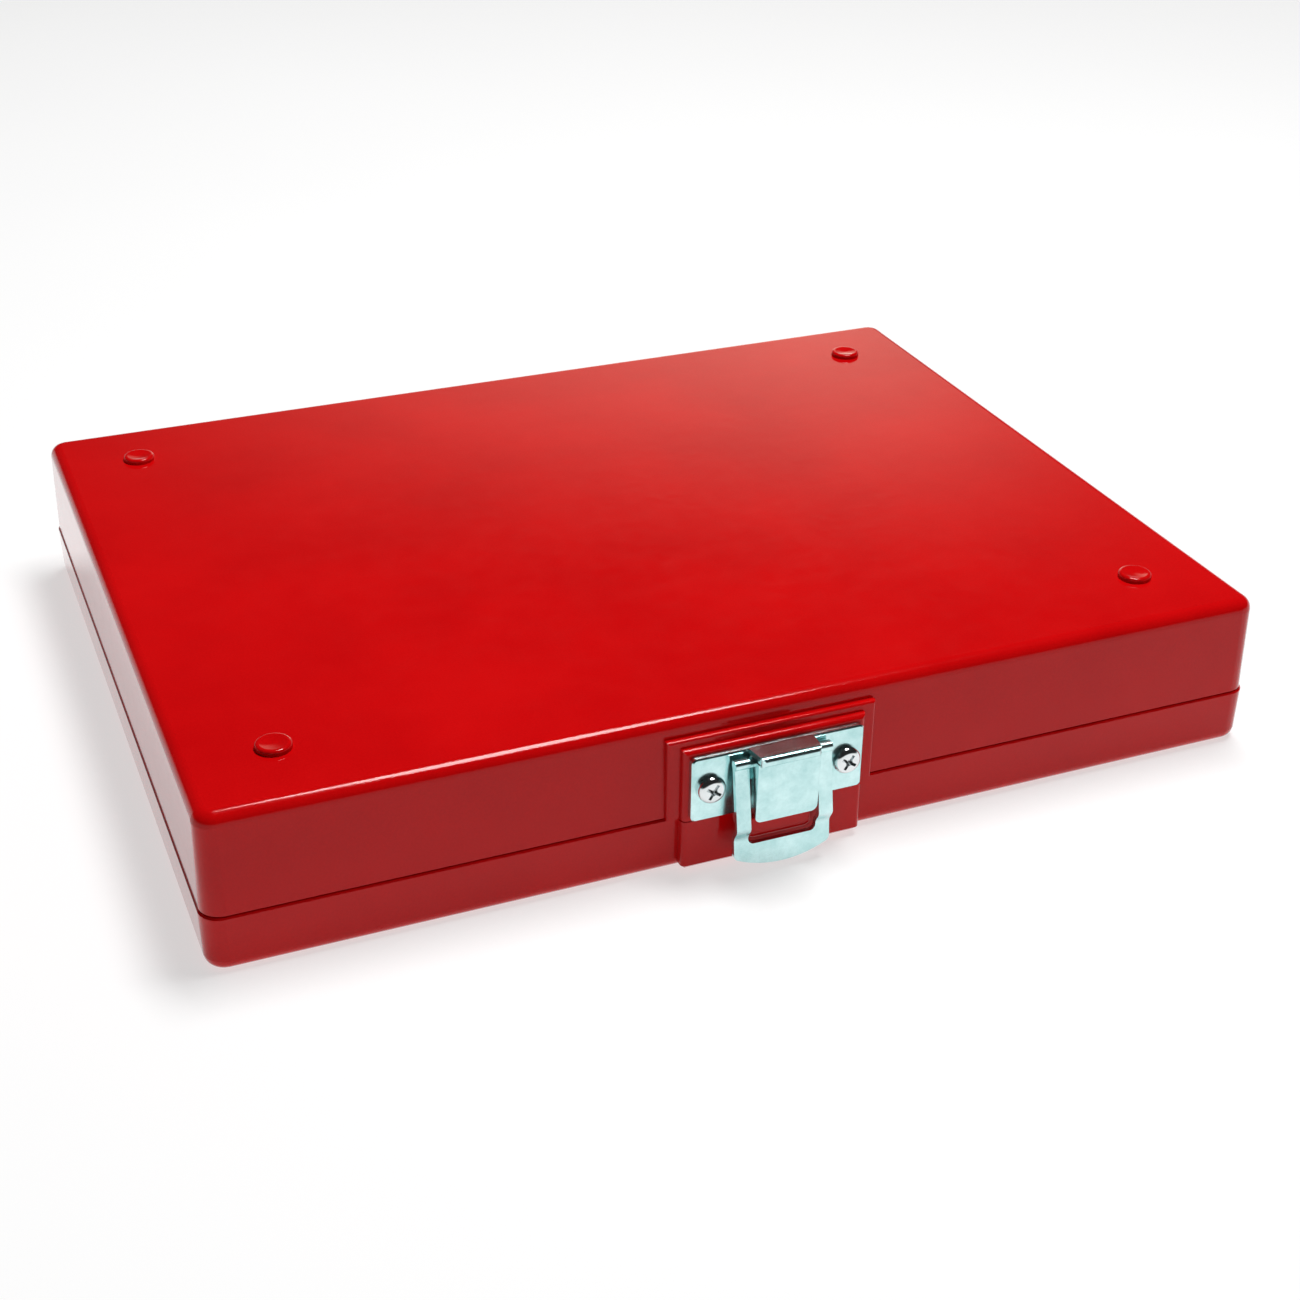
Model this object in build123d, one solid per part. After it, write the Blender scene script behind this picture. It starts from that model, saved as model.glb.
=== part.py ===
"""Quarter-inch drive socket wrench set in a two-part moulded case.

Frame: +X along the case's width, -Y is the latch side, +Z up.
Origin: centre of the case body's footprint, on the surface it rests on.
All lengths in millimetres, angles in degrees.
"""
from build123d import *
from math import cos, radians, sin
import os

# ---------------------------------------------------------------- case
CASE_W = 210.0
CASE_D = 163.0
BASE_H = 11.5
LID_H = 20.1
CASE_H = BASE_H + LID_H
WALL = 2.4
FLOOR = 2.0
CORNER_R = 4.0
EDGE_R = 2.5
BASE_DRAFT = 0.85
LID_DRAFT = 1.3
SEAM_CHAMFER = 0.3
SEAM_LEDGE = 0.25
TONGUE_T = 1.1
TONGUE_H = 1.0
NUB_X = 87.0
NUB_Y = 63.6
NUB_R = 3.3
NUB_H = 1.1
FRONT = -CASE_D / 2
BACK = CASE_D / 2
CEILING = CASE_H - FLOOR

# ---------------------------------------------------------------- hinge
HINGE_R = 2.4
HINGE_PIN_R = 1.2
HINGE_Y = BACK + 2.8
HINGE_Z = BASE_H
HINGE_SITES = (-62.0, 62.0)
KNUCKLE_MID = 12.0
KNUCKLE_SIDE = 8.0
KNUCKLE_GAP = 0.4

# ---------------------------------------------------------------- latch
LATCH_X = -0.9
PAD_OUT = (41.2, 28.0, FRONT - 0.7)
PAD_IN = (36.2, 26.4, FRONT - 2.1)
PLATE_W = 34.0
PLATE_Z0 = 12.1
PLATE_Z1 = 25.2
PLATE_T = 1.3
PLATE_Y = PAD_IN[2] - PLATE_T
SCREW_X = 13.4
SCREW_Z = 18.8
LEVER_HALF = 6.15
LEVER_T = 0.9
LEVER_TOP_Y = -89.4
LEVER_LOW_Y = -88.8
LEVER_Z0 = 11.8
LEVER_Z1 = 24.4
LEVER_BACK = PLATE_Y - 0.5
LIP_HALF_BACK = 6.4
LIP_HALF_FRONT = 5.8
LIP_BACK = -85.1
LIP_NOSE = -90.5
LIP_TOP = 26.1
LIP_LOW = 24.1
PIVOT_LOW = (-86.8, 14.4)
CHEEK_REACH = 1.05
PIVOT_TOP = (-86.5, 23.2)
LEVER_PIN_R = 0.7
LOOP_PIN_R = 0.75
PIN_PLAY = 0.06
LOOP_T = 1.0
LOOP_IN = 6.75
LOOP_OUT = 9.55
LOOP_TOP = 24.1
LOOP_TOP_Y = -86.0
LOOP_KNEE = (-88.1, 10.6)
LOOP_HOOK = (-86.9, 7.8)
WINDOW_Z = 6.5
TAB_Y = -87.5
TAB_Z = 1.7
TAB_SWEEP_R = 21.0
LUG_HALF = 6.4
LUG_Z0 = 6.7
LUG_Z1 = 11.2
LUG_Y = -86.2

# ---------------------------------------------------------------- tray
TRAY_GAP = 0.5
TRAY_X1 = CASE_W / 2 - WALL - TRAY_GAP
TRAY_Y1 = CASE_D / 2 - WALL - TRAY_GAP
TRAY_SEAM = 0.1
BIT_SPLIT_X = 18.85
SOCKET_SPLIT_Y = 55.8
TOOL_SPLIT_Y = 39.8
RATCHET_SPLIT_Y = -17.8
TRAY_Z0 = FLOOR + 0.2
TRAY_TOP = 10.6
TRAY_SKIN = 1.5
POCKET_WALL = 1.2
POCKET_FLOOR = 1.0
FIT = 0.4
LOW_FLOOR = TRAY_Z0 + POCKET_FLOOR

# ---------------------------------------------------------------- drive tools
DRIVE = 6.35
DRIVE_HOLE = 6.45
DRIVE_LEN = 7.5
DRIVE_DEPTH = 9.0
BALL_R = 1.1
LEFT_X = -99.0

SOCKET_LEN = 25.0
SOCKET_Z = LOW_FLOOR + 0.1
DRIVE_END_OD = 11.8
LARGE_NECK_OD = 15.0
SMALL_SOCKETS = {"4": 7.3, "4_5": 8.0, "5": 8.6, "5_5": 9.2, "6": 9.9, "7": 11.2, "8": 11.8}
LARGE_SOCKETS = {"9": 13.0, "10": 14.5, "11": 15.8, "12": 17.0, "13": 18.0, "14": 19.6}
LARGE_ROW_Y = 67.0
SMALL_ROW_Y = 48.5
ROW_X0 = -98.0
ROW_X1 = 16.0

BIT_AF = 6.35
BIT_SHANK = 14.0
BIT_X0 = 24.5
BIT_PITCH = 10.2
BIT_ROWS = (67.0, 51.0)

SPINNER_Y = 27.0
SPINNER_Z = 14.6
SPINNER_GRIP_R = 10.5
SPINNER_GRIP_LEN = 84.0
SPINNER_SHAFT_R = 3.4
SPINNER_LEN = 150.0

EXT_Y = 7.0
EXT_Z = 10.0
EXT_END_R = 6.0
EXT_END_LEN = 15.0
EXT_SHAFT_R = 3.6
EXT_GAP = 5.0

TBAR_Y = -10.0
TBAR_Z = 10.4
TBAR_LEN = 112.0
TBAR_R = 3.1
TBAR_KNOB_R = 4.2
TBAR_KNOB_LEN = 5.0
SLIDER_R = 6.3

ADAPTER_X = 24.0
ADAPTER_R = 5.4
ADAPTER_LEN = 25.0

KEYS = ((4.0, 49.0, 20.0, 93.5), (3.0, 42.0, 15.0, 84.5), (2.5, 34.0, 11.0, 77.0))
KEY_Y0 = -13.4
KEY_Z = 8.4

HEAD_X = 78.0
RATCHET_Y = -38.0
RATCHET_Z = 15.8
HEAD_R = 12.5
HEAD_T = 10.5
NECK_R = 4.0
GRIP_X1 = 30.0
GRIP_LEN = 88.0
GRIP_R = 9.8
GEAR_TEETH = 24
GEAR_TIP_R = 7.9
GEAR_ROOT_R = 7.1
GEAR_BOSS_R = 5.0
HEAD_CAVITY_R = 8.3
COVER_T = 1.3
COVER_R = 10.6
SELECTOR_DX = -13.2
SELECTOR_R = 1.9
BUTTON_R = 2.5
SELECTOR_THROW = 40.0
PAWL_THROW = 12.0
PAWL_NOSE_R = 7.5

UJ_X = -80.5
UJ_Y = -38.0
UJ_Z = 10.6
UJ_R = 6.4
UJ_SHOULDER = 6.5
UJ_EAR_R = 3.0
UJ_WAIST = 3.2
UJ_SLOT = 3.0
UJ_PIN_R = 1.4

PARTS_DIR = "parts"


# ================================================================ helpers
def block(x0, x1, y0, y1, z0, z1):
    """Axis-aligned box between two corners."""
    return Pos((x0 + x1) / 2, (y0 + y1) / 2, (z0 + z1) / 2) * Box(x1 - x0, y1 - y0, z1 - z0)


def rod_x(x0, x1, y, z, r):
    """Round bar along X."""
    return Pos((x0 + x1) / 2, y, z) * Rot(0, 90, 0) * Cylinder(r, x1 - x0)


def rod_y(x, y0, y1, z, r):
    """Round bar along Y."""
    return Pos(x, (y0 + y1) / 2, z) * Rot(90, 0, 0) * Cylinder(r, y1 - y0)


def rod_z(x, y, z0, z1, r):
    """Round bar along Z."""
    return Pos(x, y, (z0 + z1) / 2) * Cylinder(r, z1 - z0)


def prism_z(sketch, z0, z1):
    """Sketch in plan, extruded from z0 up to z1."""
    return Pos(0, 0, z0) * extrude(sketch, z1 - z0)


def turned_x(points, x, y, z):
    """Solid of revolution about an axis along X; points are (along, radius)."""
    outline = make_face(Polyline((points[0][0], 0), *points, (points[-1][0], 0), close=True))
    return Pos(x, y, z) * revolve(outline, Axis.X)


def turned_z(points, x, y, z):
    """Solid of revolution about a vertical axis; points are (height, radius)."""
    outline = make_face(Polyline((0, points[0][0]), *[(r, h) for h, r in points], (0, points[-1][0]),
                                 close=True))
    return Pos(x, y, z) * revolve(Plane.XZ * outline, Axis.Z)


def side_profile(points, x0, x1):
    """Outline given as (y, z) points, extruded from x0 to x1."""
    face = make_face(Polyline(*points, close=True))
    return Pos(x0, 0, 0) * extrude(Plane.YZ * face, x1 - x0)


def square_x(x0, x1, y, z, side):
    """Square bar along X with softened long edges."""
    bar = block(x0, x1, y - side / 2, y + side / 2, z - side / 2, z + side / 2)
    return chamfer(bar.edges().filter_by(Axis.X), 0.35)


def turn_at(x, y, angle):
    """Rotation about the vertical line through (x, y)."""
    return Pos(x, y, 0) * Rot(0, 0, angle) * Pos(-x, -y, 0)


def rounded(w, d, r):
    """Rounded rectangle in plan, centred on the origin."""
    return RectangleRounded(w, d, r)


def save(node, *solids):
    """Write the solids of one node to its own STEP file."""
    shape = solids[0] if len(solids) == 1 else Compound(children=list(solids))
    export_step(shape, os.path.join(PARTS_DIR, node + ".step"))


# ================================================================ case shells
def drafted_half(height, draft, inset, up):
    """Outer form of one case half, tapering away from the parting plane."""
    outline = rounded(CASE_W - 2 * inset, CASE_D - 2 * inset, CORNER_R)
    plane = Plane((0, 0, BASE_H), z_dir=(0, 0, 1 if up else -1))
    body = extrude(plane * outline, height, taper=draft)
    far, seam = (-1, 0) if up else (0, -1)
    body = fillet(body.faces().sort_by(Axis.Z)[far].edges(), EDGE_R)
    return chamfer(body.faces().sort_by(Axis.Z)[seam].edges(), SEAM_CHAMFER)


def front_pad(width, z0, z1, y_front, edge_r):
    """Raised pad on the latch side, its outer edges rounded."""
    pad = block(-width / 2, width / 2, y_front, FRONT + 1.5, z0, z1)
    front = pad.faces().sort_by(Axis.Y)[0]
    rim = [e for e in front.edges() if e.center().Z > z0 + 0.1]
    return Pos(LATCH_X, 0, 0) * fillet(rim, edge_r)


def knuckle(x0, x1, hole_r, above):
    """Hinge barrel with the web that ties it to its case half."""
    z0, z1 = (HINGE_Z + 0.2, HINGE_Z + HINGE_R) if above else (HINGE_Z - HINGE_R, HINGE_Z - 0.2)
    web = block(x0, x1, BACK - 1.2, HINGE_Y, z0, z1)
    barrel = rod_x(x0, x1, HINGE_Y, HINGE_Z, HINGE_R)
    return (web + barrel) - rod_x(x0 - 1, x1 + 1, HINGE_Y, HINGE_Z, hole_r)


def side_knuckle_spans(site):
    """The two outer knuckles' X spans at one hinge site."""
    near = KNUCKLE_MID / 2 + KNUCKLE_GAP
    far = near + KNUCKLE_SIDE
    return ((site - far, site - near), (site + near, site + far))


def make_base_shell():
    """Shallow lower half with tongue, latch pad, latch lug and hinge knuckles."""
    shell = drafted_half(BASE_H, BASE_DRAFT, 0, up=False)
    shell -= prism_z(rounded(CASE_W - 2 * WALL, CASE_D - 2 * WALL, 1.8), FLOOR, BASE_H + 1)
    ring = rounded(CASE_W - 2 * (WALL - TONGUE_T), CASE_D - 2 * (WALL - TONGUE_T), CORNER_R - 1.3)
    ring -= rounded(CASE_W - 2 * WALL, CASE_D - 2 * WALL, 1.8)
    shell += prism_z(ring, BASE_H - 1.0, BASE_H + TONGUE_H)
    pad = block(-PAD_IN[0] / 2, PAD_IN[0] / 2, PAD_IN[2], FRONT + 1.5, 1.0, BASE_H - 0.1)
    pad = fillet(pad.faces().sort_by(Axis.Y)[0].edges().filter_by(Axis.Z), 1.0)
    pad = chamfer(pad.faces().sort_by(Axis.Y)[0].edges().sort_by(Axis.Z)[0], 0.8)
    lug = block(-LUG_HALF, LUG_HALF, LUG_Y, PAD_IN[2] + 0.5, LUG_Z0, LUG_Z1)
    low_corners = lug.edges().filter_by(Axis.Y).group_by(Axis.Z)[0]
    lug = fillet(low_corners, 1.4)
    lug = fillet(lug.faces().sort_by(Axis.Y)[0].edges(), 0.5)
    shell += Pos(LATCH_X, 0, 0) * (pad + lug)
    for site in HINGE_SITES:
        for x0, x1 in side_knuckle_spans(site):
            shell += knuckle(x0, x1, HINGE_PIN_R, above=False)
    return shell


def make_nub(x, y):
    """Round stacking nub with a shallow dish in its crown."""
    nub = rod_z(x, y, CASE_H - 0.6, CASE_H + NUB_H, NUB_R)
    nub = fillet(nub.faces().sort_by(Axis.Z)[-1].edges(), 0.6)
    dish_r = 9.0
    return nub - Pos(x, y, CASE_H + NUB_H + dish_r - 0.35) * Sphere(dish_r)


def make_lid_shell():
    """Deep upper half with groove, latch pads, stacking nubs and hinge knuckles."""
    shell = drafted_half(LID_H, LID_DRAFT, SEAM_LEDGE, up=True)
    shell -= prism_z(rounded(CASE_W - 2 * WALL, CASE_D - 2 * WALL, 1.8), BASE_H - 1, CEILING)
    groove_wall = WALL - TONGUE_T - 0.2
    groove = rounded(CASE_W - 2 * groove_wall, CASE_D - 2 * groove_wall, CORNER_R - 1.1)
    shell += front_pad(PAD_OUT[0], BASE_H + 0.1, PAD_OUT[1], PAD_OUT[2], 0.55)
    shell += front_pad(PAD_IN[0], BASE_H + 0.1, PAD_IN[1], PAD_IN[2], 1.1)
    shell -= prism_z(groove, BASE_H - 1, BASE_H + TONGUE_H + 0.3)
    for x in (-NUB_X, NUB_X):
        for y in (-NUB_Y, NUB_Y):
            shell += make_nub(x, y)
    for site in HINGE_SITES:
        shell += knuckle(site - KNUCKLE_MID / 2, site + KNUCKLE_MID / 2, HINGE_PIN_R + PIN_PLAY, above=True)
    for x in (LATCH_X - SCREW_X, LATCH_X + SCREW_X):
        shell -= rod_y(x, PAD_IN[2] - 1, PAD_IN[2] + 4.2, SCREW_Z, 1.4)
    return shell


def make_hinge_pins():
    """One steel pin for each hinge site."""
    half = KNUCKLE_MID / 2 + KNUCKLE_GAP + KNUCKLE_SIDE
    return [rod_x(site - half, site + half, HINGE_Y, HINGE_Z, HINGE_PIN_R) for site in HINGE_SITES]


# ================================================================ latch
def make_latch_plate():
    """Stamped plate with two screw holes and two lanced cheeks for the lever pin."""
    plate = block(-PLATE_W / 2, PLATE_W / 2, PLATE_Y, PAD_IN[2], PLATE_Z0, PLATE_Z1)
    plate = fillet(plate.edges().filter_by(Axis.Y), 1.0)
    plate -= block(-7.2, 7.2, PLATE_Y - 1, PAD_IN[2] + 1, PLATE_Z0 - 1, 18.6)
    plate = chamfer(plate.faces().sort_by(Axis.Y)[0].edges(), 0.25)
    for side in (-1, 1):
        tab_z0, tab_z1 = PIVOT_LOW[1] - CHEEK_REACH, 19.6
        x0, x1 = sorted((side * 4.3, side * 5.1))
        cheek = block(x0, x1, PIVOT_LOW[0], PLATE_Y + 0.6, tab_z0, PIVOT_LOW[1] + CHEEK_REACH)
        cheek += block(x0, x1, PLATE_Y, PLATE_Y + 0.6, tab_z0, tab_z1)
        cheek += rod_x(x0, x1, *PIVOT_LOW, CHEEK_REACH)
        plate += cheek
        plate -= rod_y(side * SCREW_X, PLATE_Y - 1, PAD_IN[2] + 1, SCREW_Z, 1.6)
    return plate - rod_x(-6, 6, *PIVOT_LOW, LEVER_PIN_R)


def make_screw(x):
    """Pan-head screw with a cross recess, driven in along +Y."""
    head_r, head_h = 2.7, 1.7
    y_seat = PLATE_Y - 0.02
    head = rod_y(x, y_seat - head_h, y_seat, SCREW_Z, head_r)
    head = fillet(head.faces().sort_by(Axis.Y)[0].edges(), 1.2)
    slot = block(x - 1.6, x + 1.6, y_seat - head_h - 1, y_seat - 0.6, SCREW_Z - 0.3, SCREW_Z + 0.3)
    slot += block(x - 0.3, x + 0.3, y_seat - head_h - 1, y_seat - 0.6, SCREW_Z - 1.6, SCREW_Z + 1.6)
    slot += rod_y(x, y_seat - head_h - 1, y_seat - 0.5, SCREW_Z, 0.7)
    turn = Pos(x, 0, SCREW_Z) * Rot(0, 32, 0) * Pos(-x, 0, -SCREW_Z)
    shank = rod_y(x, y_seat, PAD_IN[2] + 3.8, SCREW_Z, 1.35)
    return (head - turn * slot) + shank


def make_latch_lever():
    """Channel-shaped lever that leans forward a little, with a rolled finger lip along its top."""
    top_in, low_in = LEVER_TOP_Y + LEVER_T, LEVER_LOW_Y + LEVER_T
    face = side_profile([(LEVER_TOP_Y, LEVER_Z1), (LEVER_LOW_Y, LEVER_Z0), (low_in, LEVER_Z0),
                         (top_in, LEVER_Z1)], -LEVER_HALF, LEVER_HALF)
    low = face.edges().filter_by(Axis.Y).group_by(Axis.Z)[0]
    lever = fillet(low, 1.2)
    for side in (-1, 1):
        x0, x1 = sorted((side * (LEVER_HALF - 0.8), side * LEVER_HALF))
        lever += side_profile([(top_in - 0.2, LEVER_Z1 - 0.1), (low_in - 0.2, PIVOT_LOW[1]),
                               (LEVER_BACK, PIVOT_LOW[1]), (LEVER_BACK, LEVER_Z1 - 0.1)], x0, x1)
        lever += rod_x(x0, x1, *PIVOT_LOW, LEVER_BACK - PIVOT_LOW[0])
    lever += make_lip()
    lever -= rod_x(-8, 8, *PIVOT_LOW, LEVER_PIN_R + PIN_PLAY)
    return lever - rod_x(-8, 8, *PIVOT_TOP, LOOP_PIN_R + PIN_PLAY)


def make_lip():
    """Finger lip with a rolled nose, a little narrower at the front, its front corners rounded."""
    sheet_low = LIP_TOP - 1.2
    bar = side_profile([(LIP_BACK, sheet_low), (LIP_BACK, LIP_TOP - 0.4), (LEVER_TOP_Y, LIP_TOP),
                        (LIP_NOSE, LIP_TOP), (LIP_NOSE, LIP_LOW), (LEVER_TOP_Y + 0.4, LIP_LOW),
                        (LEVER_TOP_Y + 0.8, sheet_low)], -LIP_HALF_BACK, LIP_HALF_BACK)
    nose = [e for e in bar.edges().filter_by(Axis.X) if e.center().Y < LIP_NOSE + 0.01]
    bar = fillet(nose, (LIP_TOP - LIP_LOW) / 2 - 0.05)
    plan = Polygon((-LIP_HALF_BACK, LIP_BACK + 0.1), (-LIP_HALF_FRONT, LIP_NOSE - 0.1),
                   (LIP_HALF_FRONT, LIP_NOSE - 0.1), (LIP_HALF_BACK, LIP_BACK + 0.1), align=None)
    plan = fillet(plan.vertices().group_by(Axis.Y)[0], 1.3)
    return bar & prism_z(plan, LIP_LOW - 1, LIP_TOP + 1)


def loop_line():
    """Side view of the loop's sheet: straight arms, a smooth set-back under the lever, then the tab."""
    steps = 6
    line = [(LOOP_TOP_Y, LOOP_TOP)]
    for i in range(steps + 1):
        t = i / steps
        eased = t * t * (3 - 2 * t)
        line.append((LOOP_KNEE[0] + (LOOP_HOOK[0] - LOOP_KNEE[0]) * eased,
                     LOOP_KNEE[1] + (LOOP_HOOK[1] - LOOP_KNEE[1]) * t))
    return line + [(TAB_Y, TAB_Z)]


def make_latch_loop():
    """Frame that pivots in the lever, hooks below the lug and ends in a rounded finger tab."""
    line = loop_line()
    half = LOOP_T / 2
    outline = [(y - half, z) for y, z in line] + [(y + half, z) for y, z in reversed(line)]
    frame = side_profile(outline, -LOOP_OUT, LOOP_OUT)
    window = block(-LOOP_IN, LOOP_IN, -95, -80, WINDOW_Z, LOOP_TOP + 1)
    frame -= fillet(window.edges().filter_by(Axis.Y).group_by(Axis.Z)[0], 1.2)
    frame &= rod_y(0, -95, -80, TAB_Z + TAB_SWEEP_R, TAB_SWEEP_R) + block(-20, 20, -95, -80, 12, 40)
    corners = [e for e in frame.edges() if e.center().Z < 6 and abs(abs(e.center().X) - LOOP_OUT) < 0.01
               and e.length < 1.5 * LOOP_T]
    frame = fillet(corners, 1.2)
    for side in (-1, 1):
        x0, x1 = sorted((side * LOOP_IN, side * LOOP_OUT))
        frame += rod_x(x0, x1, LOOP_TOP_Y - 0.35, PIVOT_TOP[1] + 0.1, 0.95)
    return frame + rod_x(-LOOP_IN - 0.4, LOOP_IN + 0.4, *PIVOT_TOP, LOOP_PIN_R)


# ================================================================ drive ends
def ball_seat(x, y, z):
    """Detent ball centred on the given point."""
    return Pos(x, y, z) * Sphere(BALL_R)


def square_male_x(x_face, y, z, direction):
    """Male square along X with a seat for its detent ball; returns (square, ball)."""
    x0, x1 = sorted((x_face, x_face + direction * DRIVE_LEN))
    bar = square_x(x0, x1, y, z, DRIVE)
    ball = ball_seat(x_face + direction * DRIVE_LEN * 0.6, y, z + DRIVE / 2 - 0.55)
    return bar - ball, ball


def socket(name_af, od_hex, x, y):
    """Socket standing on its hex mouth, drive square upwards."""
    af = float(name_af.replace("_", "."))
    r_hex = od_hex / 2
    r_drive = DRIVE_END_OD / 2 if od_hex <= 12 else min(od_hex, LARGE_NECK_OD) / 2
    top = SOCKET_LEN
    waist = top - 10.0
    taper_start = waist - abs(r_drive - r_hex) - 0.01
    points = [(0, r_hex - 0.5), (0.5, r_hex), (taper_start, r_hex), (waist, r_drive),
              (top - 4.6, r_drive), (top - 4.4, r_drive - 0.3), (top - 3.4, r_drive - 0.3),
              (top - 3.2, r_drive), (top - 0.6, r_drive), (top, r_drive - 0.6)]
    body = turned_z(points, x, y, SOCKET_Z)
    hexagon = Pos(x, y) * RegularPolygon((af + 0.1) / 2, 6, major_radius=False)
    mouth = prism_z(hexagon, SOCKET_Z - 1, SOCKET_Z + 9.5)
    square = prism_z(Pos(x, y) * Rectangle(DRIVE_HOLE, DRIVE_HOLE), SOCKET_Z + top - DRIVE_DEPTH, CASE_H)
    lead = Pos(x, y, SOCKET_Z + top - 0.25) * Cone(3.3, 4.3, 1.0)
    through = rod_z(x, y, SOCKET_Z, SOCKET_Z + top, min(af, 5.6) / 2 * 0.9)
    return body - mouth - square - through - (lead & prism_z(Pos(x, y) * Circle(4.2), 0, CASE_H))


def row_centres(diameters):
    """X centres that spread round items evenly over the socket rows' span."""
    gap = (ROW_X1 - ROW_X0 - sum(diameters)) / (len(diameters) - 1)
    centres, edge = [], ROW_X0
    for d in diameters:
        centres.append(edge + d / 2)
        edge += d + gap
    return centres


def socket_row(sizes, y):
    """Name, hex-end diameter and position of each socket in one row."""
    widths = [max(od, DRIVE_END_OD) for od in sizes.values()]
    return [(name, od, x, y) for (name, od), x in zip(sizes.items(), row_centres(widths))]


# ================================================================ bits and keys
def phillips_tip(size):
    """Cone with four flutes, standing up from z = 0."""
    tip = Pos(0, 0, 4) * Cone(2.6, 0.5 + 0.15 * size, 8)
    for i in range(4):
        flute = Pos(0, 0, 4.9) * Rot(0, 0, 90 * i + 45) * Pos(1.9, 0, 1) * Rot(0, -9, 0) * Box(2, 2, 12)
        tip -= flute
    return tip


def slotted_tip(width):
    """Flat blade that narrows to its edge."""
    wedge = [(-1.6, 0), (1.6, 0), (0.45, 6), (0.45, 8.5), (-0.45, 8.5), (-0.45, 6)]
    return side_profile(wedge, -width / 2, width / 2)


def hex_tip(af):
    """Plain hexagon key tip."""
    return extrude(RegularPolygon(af / 2, 6, major_radius=False), 9)


def star_tip(radius):
    """Six-lobed tip."""
    star = Circle(radius)
    for i in range(6):
        star -= Rot(0, 0, 60 * i) * Pos(radius * 1.12, 0) * Circle(radius * 0.34)
    return extrude(star, 8)


def bit(tip, x, y):
    """Hex-shank screwdriver bit standing in the tray, tip upwards."""
    shank = extrude(RegularPolygon(BIT_AF / 2, 6, major_radius=False), BIT_SHANK)
    shank = chamfer(shank.faces().sort_by(Axis.Z)[0].edges(), 0.4)
    shank += Pos(0, 0, BIT_SHANK + 1.2) * Cone(3.1, 2.4, 2.4)
    neck = Pos(0, 0, BIT_SHANK + 2.8) * Cylinder(2.4, 1.0)
    return Pos(x, y, SOCKET_Z) * (shank + neck + Pos(0, 0, BIT_SHANK + 3.0) * tip)


BIT_TIPS = {
    "bits_phillips": [phillips_tip(s) for s in (0, 1, 2, 3)],
    "bits_slotted": [slotted_tip(w) for w in (3.0, 3.6, 4.2, 4.6)],
    "bits_hex": [hex_tip(af) for af in (2.5, 3.0, 4.0, 4.6)],
    "bits_star": [star_tip(r) for r in (1.4, 1.7, 2.0, 2.3)],
}


def bit_places():
    """Bit positions: four kinds of four, in two rows of eight."""
    places = {}
    for i, kind in enumerate(BIT_TIPS):
        row_y = BIT_ROWS[i // 2]
        first = 4 * (i % 2)
        places[kind] = [(BIT_X0 + BIT_PITCH * (first + k), row_y) for k in range(4)]
    return places


def hex_key(af, long_leg, short_leg, x):
    """L-shaped hexagon key lying flat: long leg along Y, short leg towards -X."""
    bend = af * 1.3
    y1 = KEY_Y0 + long_leg
    path = Line((x, KEY_Y0, KEY_Z), (x, y1 - bend, KEY_Z))
    path += CenterArc((x - bend, y1 - bend, KEY_Z), bend, 0, 90)
    path += Line((x - bend, y1, KEY_Z), (x - short_leg, y1, KEY_Z))
    section = Plane((x, KEY_Y0, KEY_Z), z_dir=(0, 1, 0)) * RegularPolygon(af / 2, 6, major_radius=False)
    return sweep(section, path=path)


# ================================================================ long tools
def grip_points(length, r, waist_r):
    """Half outline of a moulded grip with a flange, finger grooves and a domed end."""
    points = [(0, r * 0.62), (1.2, r * 0.84), (3.2, r * 0.97), (6.0, r)]
    grooves = 5
    start, pitch = length * 0.14, length * 0.105
    for i in range(grooves):
        a = start + i * pitch
        points += [(a, r), (a + 0.9, r - 0.8), (a + 2.4, r - 0.8), (a + 3.3, r)]
    points += [(length * 0.72, r), (length * 0.82, waist_r), (length * 0.91, waist_r),
               (length * 0.955, r * 0.88), (length - 0.8, r * 0.88), (length, r * 0.80)]
    return points


def make_spinner():
    """Screwdriver-style spinner handle: grip, shaft with male square, detent ball."""
    x1 = LEFT_X + SPINNER_GRIP_LEN
    grip = turned_x(grip_points(SPINNER_GRIP_LEN, SPINNER_GRIP_R, 7.4), LEFT_X, SPINNER_Y, SPINNER_Z)
    bore_x = x1 - 30
    grip -= rod_x(bore_x, x1 + 1, SPINNER_Y, SPINNER_Z, SPINNER_SHAFT_R)
    face = LEFT_X + SPINNER_LEN - DRIVE_LEN
    shaft = rod_x(bore_x, face - 2, SPINNER_Y, SPINNER_Z, SPINNER_SHAFT_R)
    shaft += turned_x([(0, 4.4), (0.6, 5.0), (7.4, 5.0), (8, 4.6)], face - 8, SPINNER_Y, SPINNER_Z)
    square, ball = square_male_x(face - 0.1, SPINNER_Y, SPINNER_Z, 1)
    return grip, shaft + square, ball


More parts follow.
